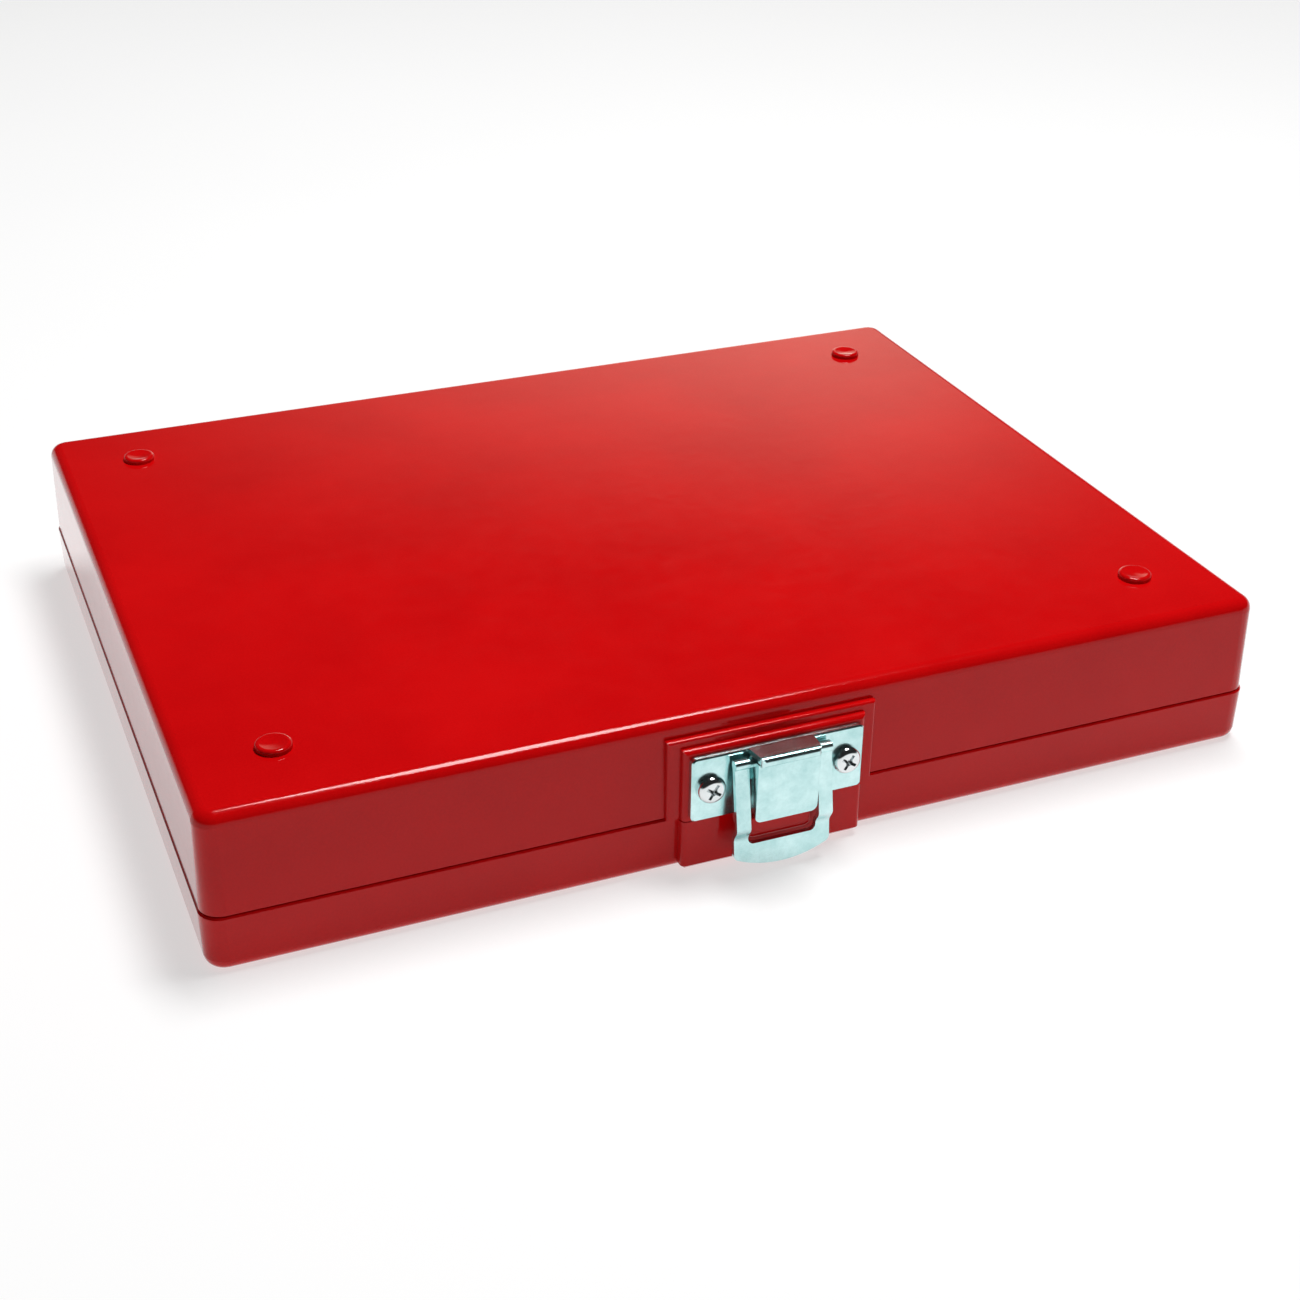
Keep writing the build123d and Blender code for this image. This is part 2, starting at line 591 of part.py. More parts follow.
def make_extension(x0, length):
    """Extension bar: female end at the left, shaft, male square at the right."""
    end = [(0, EXT_END_R - 0.6), (0.6, EXT_END_R), (3.2, EXT_END_R), (3.4, EXT_END_R - 0.3),
           (4.4, EXT_END_R - 0.3), (4.6, EXT_END_R), (EXT_END_LEN - 2.5, EXT_END_R),
           (EXT_END_LEN, EXT_SHAFT_R)]
    face = x0 + length - DRIVE_LEN
    collar = [(0, EXT_SHAFT_R), (1.2, 4.9), (5.4, 4.9), (6, 4.5)]
    bar = turned_x(end, x0, EXT_Y, EXT_Z)
    bar += rod_x(x0 + EXT_END_LEN - 0.1, face - 5, EXT_Y, EXT_Z, EXT_SHAFT_R)
    bar += turned_x(collar, face - 6, EXT_Y, EXT_Z)
    bar -= block(x0 - 1, x0 + DRIVE_DEPTH, EXT_Y - DRIVE_HOLE / 2, EXT_Y + DRIVE_HOLE / 2,
                 EXT_Z - DRIVE_HOLE / 2, EXT_Z + DRIVE_HOLE / 2)
    square, ball = square_male_x(face - 0.1, EXT_Y, EXT_Z, 1)
    return bar + square, ball


def make_t_bar():
    """Cross rod with end knobs, and the sliding square-drive head on it."""
    x0, x1 = LEFT_X, LEFT_X + TBAR_LEN
    mid = (x0 + x1) / 2
    knob = [(0, TBAR_KNOB_R - 0.8), (0.8, TBAR_KNOB_R), (TBAR_KNOB_LEN - 0.5, TBAR_KNOB_R),
            (TBAR_KNOB_LEN, TBAR_KNOB_R - 0.5)]
    rod = rod_x(x0 + 0.5, x1 - 0.5, TBAR_Y, TBAR_Z, TBAR_R)
    rod += turned_x(knob, x0, TBAR_Y, TBAR_Z) + turned_x(knob, x1 - TBAR_KNOB_LEN, TBAR_Y, TBAR_Z)
    z0, z1 = TBAR_Z - 6.2, TBAR_Z + 6.4
    head = turned_z([(0, SLIDER_R - 0.8), (0.8, SLIDER_R), (11.4, SLIDER_R), (z1 - z0, SLIDER_R - 1.2)],
                    mid, TBAR_Y, z0)
    post = block(mid - DRIVE / 2, mid + DRIVE / 2, TBAR_Y - DRIVE / 2, TBAR_Y + DRIVE / 2,
                 z1 - 0.2, z1 + DRIVE_LEN)
    post = chamfer(post.edges().filter_by(Axis.Z), 0.35)
    ball = ball_seat(mid, TBAR_Y - DRIVE / 2 + 0.55, z1 + DRIVE_LEN * 0.55)
    head = (head + post) - rod_x(mid - 10, mid + 10, TBAR_Y, TBAR_Z, TBAR_R + PIN_PLAY) - ball
    return rod, head, ball


def make_bit_adapter():
    """Coupler with a female square at the left and a hex mouth at the right."""
    x0, x1 = ADAPTER_X, ADAPTER_X + ADAPTER_LEN
    profile = [(0, ADAPTER_R + 0.1), (0.5, ADAPTER_R + 0.6), (11, ADAPTER_R + 0.6), (12, ADAPTER_R - 0.4),
               (ADAPTER_LEN - 0.6, ADAPTER_R - 0.4), (ADAPTER_LEN, ADAPTER_R - 1.0)]
    body = turned_x(profile, x0, TBAR_Y, TBAR_Z)
    body -= block(x0 - 1, x0 + DRIVE_DEPTH, TBAR_Y - DRIVE_HOLE / 2, TBAR_Y + DRIVE_HOLE / 2,
                  TBAR_Z - DRIVE_HOLE / 2, TBAR_Z + DRIVE_HOLE / 2)
    plane = Plane((x1 - 12, TBAR_Y, TBAR_Z), x_dir=(0, 1, 0), z_dir=(1, 0, 0))
    body -= extrude(plane * RegularPolygon((BIT_AF + 0.1) / 2, 6, major_radius=False), 13)
    return body


# ================================================================ ratchet
def pear(head_r, neck_half, reach):
    """Plan outline of the ratchet head: a disc drawn out to the neck at -X."""
    disc = Circle(head_r)
    a = radians(118)
    wedge = Polygon((head_r * cos(a), head_r * sin(a)), (-reach, neck_half), (-reach, -neck_half),
                    (head_r * cos(a), -head_r * sin(a)), align=None)
    return Pos(HEAD_X, RATCHET_Y) * (disc + wedge)


HEAD_Z0 = RATCHET_Z - HEAD_T / 2
HEAD_Z1 = RATCHET_Z + HEAD_T / 2
CAVITY_Z0 = HEAD_Z0 + 1.6
COVER_Z0 = HEAD_Z1 - COVER_T
SELECTOR_X = HEAD_X + SELECTOR_DX
COVER_SCREWS = ((HEAD_X + 6.2, RATCHET_Y + 7.2), (HEAD_X + 6.2, RATCHET_Y - 7.2))


def gear_outline():
    """Ratchet gear in plan: straight-flanked teeth on a root circle."""
    points = []
    for i in range(GEAR_TEETH):
        base = 360.0 * i / GEAR_TEETH
        for offset, r in ((-5.6, GEAR_ROOT_R), (-2.4, GEAR_TIP_R), (2.4, GEAR_TIP_R), (5.6, GEAR_ROOT_R)):
            a = radians(base + 7.5 + offset)
            points.append((r * cos(a), r * sin(a)))
    return Pos(HEAD_X, RATCHET_Y) * Polygon(*points, align=None)


def make_ratchet_body():
    """Steel head, neck and tang with the gear cavity and cover recess."""
    head = prism_z(pear(HEAD_R, 4.8, 24.0), HEAD_Z0, HEAD_Z1)
    head = fillet(head.faces().sort_by(Axis.Z)[0].edges(), 1.2)
    head = fillet(head.faces().sort_by(Axis.Z)[-1].edges(), 0.8)
    body = head + rod_x(GRIP_X1 - 40, HEAD_X - 20, RATCHET_Y, RATCHET_Z, NECK_R)
    body += turned_x([(0, NECK_R), (1, 6.2), (4, 6.2), (5, NECK_R)], GRIP_X1 + 0.1, RATCHET_Y, RATCHET_Z)
    body -= prism_z(pear(COVER_R, 3.4, 20.0), COVER_Z0, HEAD_Z1 + 1)
    body -= rod_z(HEAD_X, RATCHET_Y, CAVITY_Z0, HEAD_Z1, HEAD_CAVITY_R)
    body -= rod_z(HEAD_X, RATCHET_Y, HEAD_Z0 - 1, HEAD_Z1, GEAR_BOSS_R + PIN_PLAY)
    pawl_room = prism_z(pear(COVER_R - 0.5, 2.4, 19.0), CAVITY_Z0, HEAD_Z1)
    room_limit = block(SELECTOR_X - 3.4, HEAD_X - 3, RATCHET_Y - 9, RATCHET_Y + 9, CAVITY_Z0, HEAD_Z1)
    body -= pawl_room & room_limit
    body -= rod_z(SELECTOR_X, RATCHET_Y, HEAD_Z0 + 0.9, HEAD_Z1, SELECTOR_R + PIN_PLAY)
    for x, y in COVER_SCREWS:
        body -= rod_z(x, y, COVER_Z0 - 3.0, HEAD_Z1, 0.8)
    return body


def make_ratchet_grip():
    """Moulded grip over the tang."""
    x0 = GRIP_X1 - GRIP_LEN
    grip = turned_x(grip_points(GRIP_LEN, GRIP_R, 7.2), x0, RATCHET_Y, RATCHET_Z)
    return grip - rod_x(GRIP_X1 - 40, GRIP_X1 + 1, RATCHET_Y, RATCHET_Z, NECK_R)


def make_drive_gear():
    """Toothed gear with its lower boss and the male square, bored for the button."""
    top = COVER_Z0 - 0.2
    gear = prism_z(gear_outline(), CAVITY_Z0 + 0.2, top)
    gear += rod_z(HEAD_X, RATCHET_Y, HEAD_Z0 - 0.3, CAVITY_Z0 + 0.3, GEAR_BOSS_R)
    gear += rod_z(HEAD_X, RATCHET_Y, top - 0.1, HEAD_Z1 + 0.3, 4.2)
    square = block(HEAD_X - DRIVE / 2, HEAD_X + DRIVE / 2, RATCHET_Y - DRIVE / 2, RATCHET_Y + DRIVE / 2,
                   HEAD_Z0 - DRIVE_LEN, HEAD_Z0 - 0.2)
    gear += chamfer(square.edges().filter_by(Axis.Z), 0.35)
    gear -= rod_z(HEAD_X, RATCHET_Y, HEAD_Z1 - 3.4, HEAD_Z1 + 1, BUTTON_R + PIN_PLAY)
    gear -= rod_z(HEAD_X, RATCHET_Y, HEAD_Z0 - 2.0, HEAD_Z1, 1.0)
    ball = ball_seat(HEAD_X, RATCHET_Y - DRIVE / 2 + 0.55, HEAD_Z0 - DRIVE_LEN * 0.6)
    return gear - ball, ball


def make_release_button():
    """Push button with its stem, riding in the gear's bore."""
    z0 = HEAD_Z1 - 1.8
    button = rod_z(HEAD_X, RATCHET_Y, z0, HEAD_Z1 + 1.6, BUTTON_R)
    button = fillet(button.faces().sort_by(Axis.Z)[-1].edges(), 0.5)
    return button + rod_z(HEAD_X, RATCHET_Y, HEAD_Z0 + 1.6, z0 + 0.1, 0.9)


def make_cover_plate():
    """Cover with openings for the gear boss, the selector shaft and two screws."""
    plate = prism_z(pear(COVER_R - 0.05, 3.35, 19.95), COVER_Z0 + 0.02, HEAD_Z1)
    plate -= rod_z(HEAD_X, RATCHET_Y, COVER_Z0 - 1, HEAD_Z1 + 1, 4.4)
    plate -= rod_z(SELECTOR_X, RATCHET_Y, COVER_Z0 - 1, HEAD_Z1 + 1, SELECTOR_R + PIN_PLAY)
    for x, y in COVER_SCREWS:
        plate -= rod_z(x, y, COVER_Z0 - 1, HEAD_Z1 + 1, 0.9)
    return plate


def make_cover_screws():
    """Two small screws that hold the cover plate."""
    screws = []
    for x, y in COVER_SCREWS:
        head = rod_z(x, y, HEAD_Z1 + 0.02, HEAD_Z1 + 0.72, 1.6)
        head = fillet(head.faces().sort_by(Axis.Z)[-1].edges(), 0.4)
        head -= block(x - 2, x + 2, y - 0.2, y + 0.2, HEAD_Z1 + 0.4, HEAD_Z1 + 1)
        screws.append(head + rod_z(x, y, COVER_Z0 - 2.6, HEAD_Z1 + 0.1, 0.75))
    return screws


def make_selector():
    """Direction lever: disc with a thumb tab on top, shaft down to the head's floor."""
    z0 = HEAD_Z1 + 0.3
    disc = prism_z(Pos(SELECTOR_X, RATCHET_Y) * Circle(4.3), z0, z0 + 1.5)
    tab = Pos(SELECTOR_X, RATCHET_Y) * SlotCenterToCenter(7.0, 3.0, rotation=0)
    tab = Pos(-4.2, 0, 0) * prism_z(tab, z0, z0 + 2.6)
    lever = disc + turn_at(SELECTOR_X, RATCHET_Y, -SELECTOR_THROW / 2) * tab
    lever = fillet(lever.faces().sort_by(Axis.Z)[-1].edges(), 0.5)
    return lever + rod_z(SELECTOR_X, RATCHET_Y, HEAD_Z0 + 1.1, z0 + 0.1, SELECTOR_R)


def pawl_nose(side):
    """Nose that sits in a gear tooth gap, in plan about the gear's centre."""
    outline = [(PAWL_NOSE_R, 0.12), (PAWL_NOSE_R, -0.12), (9.9, -0.45), (9.9, 0.45)]
    return Rot(0, 0, side * 150) * Polygon(*outline, align=None)


def make_pawl():
    """Rocking pawl around the selector's shaft, one nose for each direction."""
    z0, z1 = CAVITY_Z0 + 0.3, COVER_Z0 - 0.4
    arms = Polygon((-14.6, -2.2), (-10.0, -4.5), (-8.9, -5.3), (-8.9, 5.3), (-10.0, 4.5), (-14.6, 2.2),
                   align=None)
    arms -= Circle(GEAR_TIP_R + 0.9)
    body = arms + Pos(SELECTOR_DX, 0) * Circle(2.9)
    for side in (1, -1):
        body += turn_at(SELECTOR_DX, 0, side * PAWL_THROW / 2) * pawl_nose(side)
    body -= Pos(SELECTOR_DX, 0) * Circle(SELECTOR_R + PIN_PLAY)
    body = turn_at(SELECTOR_DX, 0, -PAWL_THROW / 2) * body
    return prism_z(Pos(HEAD_X, RATCHET_Y) * body, z0, z1)


# ================================================================ universal joint
def yoke(across):
    """Yoke pointing along +X with its joint centre at the origin; across is its pin axis."""
    body = rod_x(-UJ_SHOULDER - 11, 0, 0, 0, UJ_R)
    body = fillet(body.faces().sort_by(Axis.X)[0].edges(), 0.8)
    ears = Rot(90, 0, 0) * Cylinder(UJ_EAR_R, 2 * UJ_R)
    part = body & block(-30, -UJ_SHOULDER, -9, 9, -9, 9)
    part += body & (ears + side_hull())
    part += rod_x(-UJ_EAR_R, UJ_EAR_R, 0, 0, UJ_R) & ears
    part -= block(-UJ_SHOULDER, UJ_EAR_R + 1, -UJ_SLOT - 0.1, UJ_SLOT + 0.1, -9, 9)
    part -= rod_y(0, -9, 9, 0, UJ_PIN_R + PIN_PLAY)
    return part if across == "y" else Rot(90, 0, 0) * part


def side_hull():
    """Wedge that blends a yoke's ears into its trunk, seen along Y."""
    outline = Polygon((0, UJ_EAR_R), (-UJ_WAIST, UJ_EAR_R), (-UJ_SHOULDER, UJ_R - 0.6),
                      (-UJ_SHOULDER, -UJ_R + 0.6), (-UJ_WAIST, -UJ_EAR_R), (0, -UJ_EAR_R), align=None)
    return Pos(0, UJ_R, 0) * extrude(Plane.XZ * outline, 2 * UJ_R)


def make_u_joint():
    """Female yoke, cross and male yoke, straight along X."""
    place = Pos(UJ_X, UJ_Y, UJ_Z)
    female = yoke("y")
    x_end = -UJ_SHOULDER - 11
    female -= block(x_end - 1, x_end + DRIVE_DEPTH, -DRIVE_HOLE / 2, DRIVE_HOLE / 2,
                    -DRIVE_HOLE / 2, DRIVE_HOLE / 2)
    trunk_cut = block(-40, -UJ_SHOULDER - 3, -9, 9, -9, 9)
    male = Rot(0, 0, 180) * (yoke("z") - trunk_cut)
    square, ball = square_male_x(UJ_SHOULDER + 2.9, 0, 0, 1)
    male += square
    cube = 2 * UJ_SLOT - 0.6
    cross = fillet(Box(cube, cube, cube).edges(), 0.4)
    reach = UJ_R - 0.5
    cross += rod_y(0, -reach, reach, 0, UJ_PIN_R) + rod_z(0, 0, -reach, reach, UJ_PIN_R)
    return place * female, place * cross, place * male, place * ball


# ================================================================ tray
def pocket_list():
    """Every recess of the tray: (plan sketch, floor height)."""
    pockets = []
    for _, od, x, y in socket_row(LARGE_SOCKETS, LARGE_ROW_Y) + socket_row(SMALL_SOCKETS, SMALL_ROW_Y):
        pockets.append((Pos(x, y) * Circle(od / 2 + FIT), LOW_FLOOR))
    for places in bit_places().values():
        pockets += [(Pos(x, y) * Circle(BIT_AF / 2 * 1.155 + 0.3), LOW_FLOOR) for x, y in places]
    grip_end = LEFT_X + SPINNER_GRIP_LEN
    spinner_end = LEFT_X + SPINNER_LEN
    pockets.append((slab(LEFT_X - 1, grip_end + 1, SPINNER_Y, SPINNER_GRIP_R + 0.6), LOW_FLOOR))
    pockets.append((slab(grip_end, spinner_end + 1, SPINNER_Y, 5.6), SPINNER_Z - 5.4))
    ext_50 = LEFT_X + 100 + EXT_GAP
    for x0, length in ((LEFT_X, 100), (ext_50, 50)):
        pockets.append((slab(x0 - 0.8, x0 + length + 0.8, EXT_Y, EXT_END_R + 0.5), EXT_Z - EXT_END_R - 0.5))
    pockets.append((slab(LEFT_X - 0.8, LEFT_X + TBAR_LEN + 0.8, TBAR_Y, SLIDER_R + 0.8), LOW_FLOOR))
    pockets.append((slab(ADAPTER_X - 0.8, ADAPTER_X + ADAPTER_LEN + 0.8, TBAR_Y, 6.6), LOW_FLOOR + 0.8))
    for af, long_leg, short_leg, x in KEYS:
        half = af / 2 + 1.3
        y1 = KEY_Y0 + long_leg
        floor = KEY_Z - af / 2 - 0.35
        leg = Pos(x, (KEY_Y0 + y1) / 2) * Rectangle(2 * half, long_leg + 2 * half)
        foot = Pos(x - short_leg / 2, y1) * Rectangle(short_leg + 2 * half, 2 * half)
        pockets.append((leg + foot, floor))
    tail = GRIP_X1 - GRIP_LEN
    pockets.append((slab(tail - 1, GRIP_X1 + 7, RATCHET_Y, GRIP_R + 0.6), RATCHET_Z - GRIP_R - 0.4))
    pockets.append((slab(GRIP_X1, HEAD_X - 20, RATCHET_Y, 6.0), HEAD_Z0 - 1.0))
    pockets.append((pear(HEAD_R + 0.8, 6.0, 25.5), HEAD_Z0 - 1.0))
    pockets.append((Pos(HEAD_X, RATCHET_Y) * Circle(5.4), TRAY_Z0 + 0.4))
    pockets.append((Pos(UJ_X - 8, UJ_Y) * Rectangle(21, 2 * UJ_R + 1.2), LOW_FLOOR + 0.4))
    pockets.append((Pos(UJ_X + 8.6, UJ_Y) * Rectangle(21, 31.0), LOW_FLOOR + 0.4))
    pockets.append((Pos(-14, RATCHET_Y) * rounded(28, 39, 6), 4.4))
    pockets.append((Pos(-52, 19.0) * rounded(24, 39, 6), 4.4))
    pockets.append((Pos(0, -69.0) * rounded(190, 14, 4), 4.4))
    return pockets


def slab(x0, x1, y, half):
    """Rectangle in plan about a long tool."""
    return Pos((x0 + x1) / 2, y) * Rectangle(x1 - x0, 2 * half)


TRAY_SECTIONS = {
    "tray_large_sockets": (-TRAY_X1, BIT_SPLIT_X, SOCKET_SPLIT_Y, TRAY_Y1),
    "tray_small_sockets": (-TRAY_X1, BIT_SPLIT_X, TOOL_SPLIT_Y, SOCKET_SPLIT_Y),
    "tray_bits": (BIT_SPLIT_X, TRAY_X1, TOOL_SPLIT_Y, TRAY_Y1),
    "tray_bars_and_keys": (-TRAY_X1, TRAY_X1, RATCHET_SPLIT_Y, TOOL_SPLIT_Y),
    "tray_ratchet": (-TRAY_X1, TRAY_X1, -TRAY_Y1, RATCHET_SPLIT_Y),
}


def make_tray_section(x0, x1, y0, y1):
    """One thin-walled moulded insert: deck, skirt and the walled pockets that lie inside it."""
    centre = Pos((x0 + x1) / 2, (y0 + y1) / 2)
    w, d = x1 - x0 - 2 * TRAY_SEAM, y1 - y0 - 2 * TRAY_SEAM
    outer = centre * rounded(w, d, 1.0)
    skirt = outer - centre * rounded(w - 2 * TRAY_SKIN, d - 2 * TRAY_SKIN, 0.6)
    inside = centre * rounded(w - TRAY_SKIN, d - TRAY_SKIN, 0.8)
    section = prism_z(outer, TRAY_TOP - TRAY_SKIN, TRAY_TOP) + prism_z(skirt, TRAY_Z0, TRAY_TOP)
    shells, recesses = [], []
    for sketch, floor in pocket_list():
        middle = sketch.bounding_box().center()
        if x0 < middle.X < x1 and y0 < middle.Y < y1:
            wall = offset(sketch, POCKET_WALL, kind=Kind.INTERSECTION) & inside
            shells.append(prism_z(wall, max(floor - POCKET_FLOOR, TRAY_Z0), TRAY_TOP - 0.2))
            recesses.append(prism_z(sketch, floor, TRAY_TOP + 1))
    return (section + shells) - recesses


# ================================================================ write the nodes
def main():
    """Build every node and write its STEP file."""
    os.makedirs(PARTS_DIR, exist_ok=True)
    save("base_shell", make_base_shell())
    save("lid_shell", make_lid_shell())
    save("hinge_pins", *make_hinge_pins())
    latch = Pos(LATCH_X, 0, 0)
    save("latch_base_plate", latch * make_latch_plate())
    save("latch_screws", *[latch * make_screw(x) for x in (-SCREW_X, SCREW_X)])
    save("latch_lever", latch * make_latch_lever())
    save("latch_lever_pin", latch * rod_x(-LEVER_HALF, LEVER_HALF, *PIVOT_LOW, LEVER_PIN_R))
    save("latch_loop", latch * make_latch_loop())
    for section, bounds in TRAY_SECTIONS.items():
        save(section, make_tray_section(*bounds))
    for name, od, x, y in socket_row(LARGE_SOCKETS, LARGE_ROW_Y) + socket_row(SMALL_SOCKETS, SMALL_ROW_Y):
        save("socket_" + name + "mm", socket(name, od, x, y))
    for kind, places in bit_places().items():
        save(kind, *[bit(tip, x, y) for tip, (x, y) in zip(BIT_TIPS[kind], places)])
    save("bit_adapter", make_bit_adapter())
    grip, shaft, spinner_ball = make_spinner()
    save("spinner_grip", grip)
    save("spinner_shaft", shaft)
    long_bar, long_ball = make_extension(LEFT_X, 100)
    short_bar, short_ball = make_extension(LEFT_X + 100 + EXT_GAP, 50)
    save("extension_bar_100mm", long_bar)
    save("extension_bar_50mm", short_bar)
    save("drive_lock_balls", spinner_ball, long_ball, short_ball)
    rod, head, slider_ball = make_t_bar()
    save("t_bar_rod", rod)
    save("t_bar_slider", head)
    save("t_bar_lock_ball", slider_ball)
    for number, (af, long_leg, short_leg, x) in enumerate(KEYS, start=1):
        save("hex_key_" + str(number), hex_key(af, long_leg, short_leg, x))
    save("ratchet_body", make_ratchet_body())
    save("ratchet_grip", make_ratchet_grip())
    gear, gear_ball = make_drive_gear()
    save("ratchet_drive_gear", gear)
    save("ratchet_lock_ball", gear_ball)
    save("ratchet_release_button", make_release_button())
    save("ratchet_cover_plate", make_cover_plate())
    save("ratchet_cover_screws", *make_cover_screws())
    save("ratchet_selector", make_selector())
    save("ratchet_pawl", make_pawl())
    female, cross, male, joint_ball = make_u_joint()
    save("u_joint_socket_yoke", female)
    save("u_joint_cross", cross)
    save("u_joint_drive_yoke", male)
    save("u_joint_lock_ball", joint_ball)


main()
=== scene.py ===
"""Looks of a socket wrench set in its case: materials, studio and camera round the frame's CAD nodes."""
import math

import bpy
from mathutils import Matrix, Vector


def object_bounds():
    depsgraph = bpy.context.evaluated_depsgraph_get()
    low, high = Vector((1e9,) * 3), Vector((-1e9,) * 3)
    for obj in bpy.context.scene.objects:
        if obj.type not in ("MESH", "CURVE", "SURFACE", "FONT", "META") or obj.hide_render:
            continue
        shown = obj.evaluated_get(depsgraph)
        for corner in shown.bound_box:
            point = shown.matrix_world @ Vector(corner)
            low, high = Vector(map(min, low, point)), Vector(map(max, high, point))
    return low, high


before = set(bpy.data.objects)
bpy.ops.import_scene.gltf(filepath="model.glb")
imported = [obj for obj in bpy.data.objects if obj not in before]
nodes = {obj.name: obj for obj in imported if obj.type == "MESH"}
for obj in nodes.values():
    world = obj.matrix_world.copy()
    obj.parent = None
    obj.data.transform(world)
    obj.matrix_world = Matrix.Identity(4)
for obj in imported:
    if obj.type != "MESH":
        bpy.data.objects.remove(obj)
cad_low, cad_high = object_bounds()

# ---------------------------------------------------------------- camera
CAMERA_AT = Vector((-0.14279, -0.36561, 0.22280))
CAMERA_AZIMUTH = -22.553
CAMERA_ELEVATION = 29.691
CAMERA_ROLL = 0.636
SENSOR_MM = 36.0
FOCAL_MM = 57.458
NEAR_CLIP = 0.01

# ---------------------------------------------------------------- studio
WHITE = (1.0, 1.0, 1.0, 1.0)
FLOOR_HALF = 6.0
FLOOR_GREY = 0.38
FLOOR_GLOW = 0.62
FLOOR_MOTTLE = 0.01
SOFTBOX_AT = Vector((0.22, 0.07, 1.00))
SOFTBOX_SIZE = (0.52, 0.27)
SOFTBOX_WATTS = 12.0
WORLD_ZENITH = 0.02
WORLD_HORIZON = 0.9
WORLD_HORIZON_TOP = 0.14
GLOW_STRENGTH = 1.15
GLOW_FADE_Z = (0.335, 0.47)
GLOW_RISE_X = (0.04, 0.50)
GLOW_FALL_X = (0.42, 0.60)
GLOW_BEHIND_Y = (0.0, 0.3)
GLOW_TINT = (1.0, 0.92, 0.76, 1.0)


# ---------------------------------------------------------------- node helpers
class Tree:
    """Short calls for building one material's or world's node tree."""

    def __init__(self, owner):
        owner.use_nodes = True
        self.tree = owner.node_tree
        self.tree.nodes.clear()

    def add(self, kind, **settings):
        node = self.tree.nodes.new(kind)
        for name, value in settings.items():
            setattr(node, name, value)
        return node

    def link(self, out_socket, in_socket):
        self.tree.links.new(out_socket, in_socket)
        return in_socket

    def coords(self):
        return self.add("ShaderNodeTexCoord").outputs["Object"]

    def stretched(self, vector, scale):
        mapping = self.add("ShaderNodeMapping")
        mapping.inputs["Scale"].default_value = scale
        self.link(vector, mapping.inputs["Vector"])
        return mapping.outputs["Vector"]

    def noise(self, vector, scale, detail=2.0, rough=0.5):
        node = self.add("ShaderNodeTexNoise")
        node.inputs["Scale"].default_value = scale
        node.inputs["Detail"].default_value = detail
        node.inputs["Roughness"].default_value = rough
        self.link(vector, node.inputs["Vector"])
        return node.outputs["Fac"]

    def spread(self, value, low, high, to_low, to_high, easing="LINEAR"):
        node = self.add("ShaderNodeMapRange", interpolation_type=easing)
        numbers = {"From Min": low, "From Max": high, "To Min": to_low, "To Max": to_high}
        for name, number in numbers.items():
            node.inputs[name].default_value = number
        self.link(value, node.inputs["Value"])
        return node.outputs["Result"]

    def ramp(self, value, low, colour_low, high, colour_high):
        node = self.add("ShaderNodeValToRGB")
        first, last = node.color_ramp.elements
        first.position, first.color = low, (*colour_low, 1.0)
        last.position, last.color = high, (*colour_high, 1.0)
        self.link(value, node.inputs["Fac"])
        return node.outputs["Color"]

    def math(self, operation, a, b):
        node = self.add("ShaderNodeMath", operation=operation)
        for socket, value in zip(node.inputs, (a, b)):
            if isinstance(value, (int, float)):
                socket.default_value = value
            else:
                self.link(value, socket)
        return node.outputs["Value"]

    def bump(self, height, distance, strength=1.0, normal=None):
        node = self.add("ShaderNodeBump")
        node.inputs["Distance"].default_value = distance
        node.inputs["Strength"].default_value = strength
        self.link(height, node.inputs["Height"])
        if normal is not None:
            self.link(normal, node.inputs["Normal"])
        return node.outputs["Normal"]

    def surface(self, **values):
        shader = self.add("ShaderNodeBsdfPrincipled")
        for name, value in values.items():
            shader.inputs[name.replace("_", " ")].default_value = value
        output = self.add("ShaderNodeOutputMaterial")
        self.link(shader.outputs["BSDF"], output.inputs["Surface"])
        return shader.inputs


def material(name):
    """New material and the Tree that builds it."""
    made = bpy.data.materials.new(name)
    return made, Tree(made)


# ---------------------------------------------------------------- materials
# Noise scales are repeats per metre; bump depths are metres.
BAND = (0.3, 0.7)
RED_DARK, RED_LIGHT = (0.53, 0.0012, 0.0022), (0.63, 0.0026, 0.0034)
RED_BAND = (0.36, 0.64)
CLOUD_SHARE = 0.6
PEEL_DEPTH = 0.00004
GRAIN_DEPTH = 0.00001


def case_plastic():
    """Glossy red moulded plastic: faint cloudy mottling, fine grain, a little orange peel."""
    made, t = material("case_red_gloss")
    at = t.coords()
    clouds = t.noise(at, 28.0, 3.0, 0.6)
    grain = t.noise(at, 2600.0, 2.0, 0.7)
    cloud_part = t.math("MULTIPLY", clouds, CLOUD_SHARE)
    mix = t.math("ADD", cloud_part, t.math("MULTIPLY", grain, 1.0 - CLOUD_SHARE))
    s = t.surface(Metallic=0.0, IOR=1.47, Specular_IOR_Level=0.10, Coat_Weight=1.0, Coat_IOR=1.22)
    t.link(t.ramp(mix, RED_BAND[0], RED_DARK, RED_BAND[1], RED_LIGHT), s["Base Color"])
    smudge = t.noise(at, 190.0, 3.0)
    t.link(t.spread(smudge, *BAND, 0.10, 0.16), s["Roughness"])
    t.link(t.spread(smudge, *BAND, 0.04, 0.08), s["Coat Roughness"])
    peel = t.bump(t.noise(at, 420.0, 1.0), PEEL_DEPTH, 0.5)
    t.link(t.bump(grain, GRAIN_DEPTH, 0.6, peel), s["Normal"])
    return made


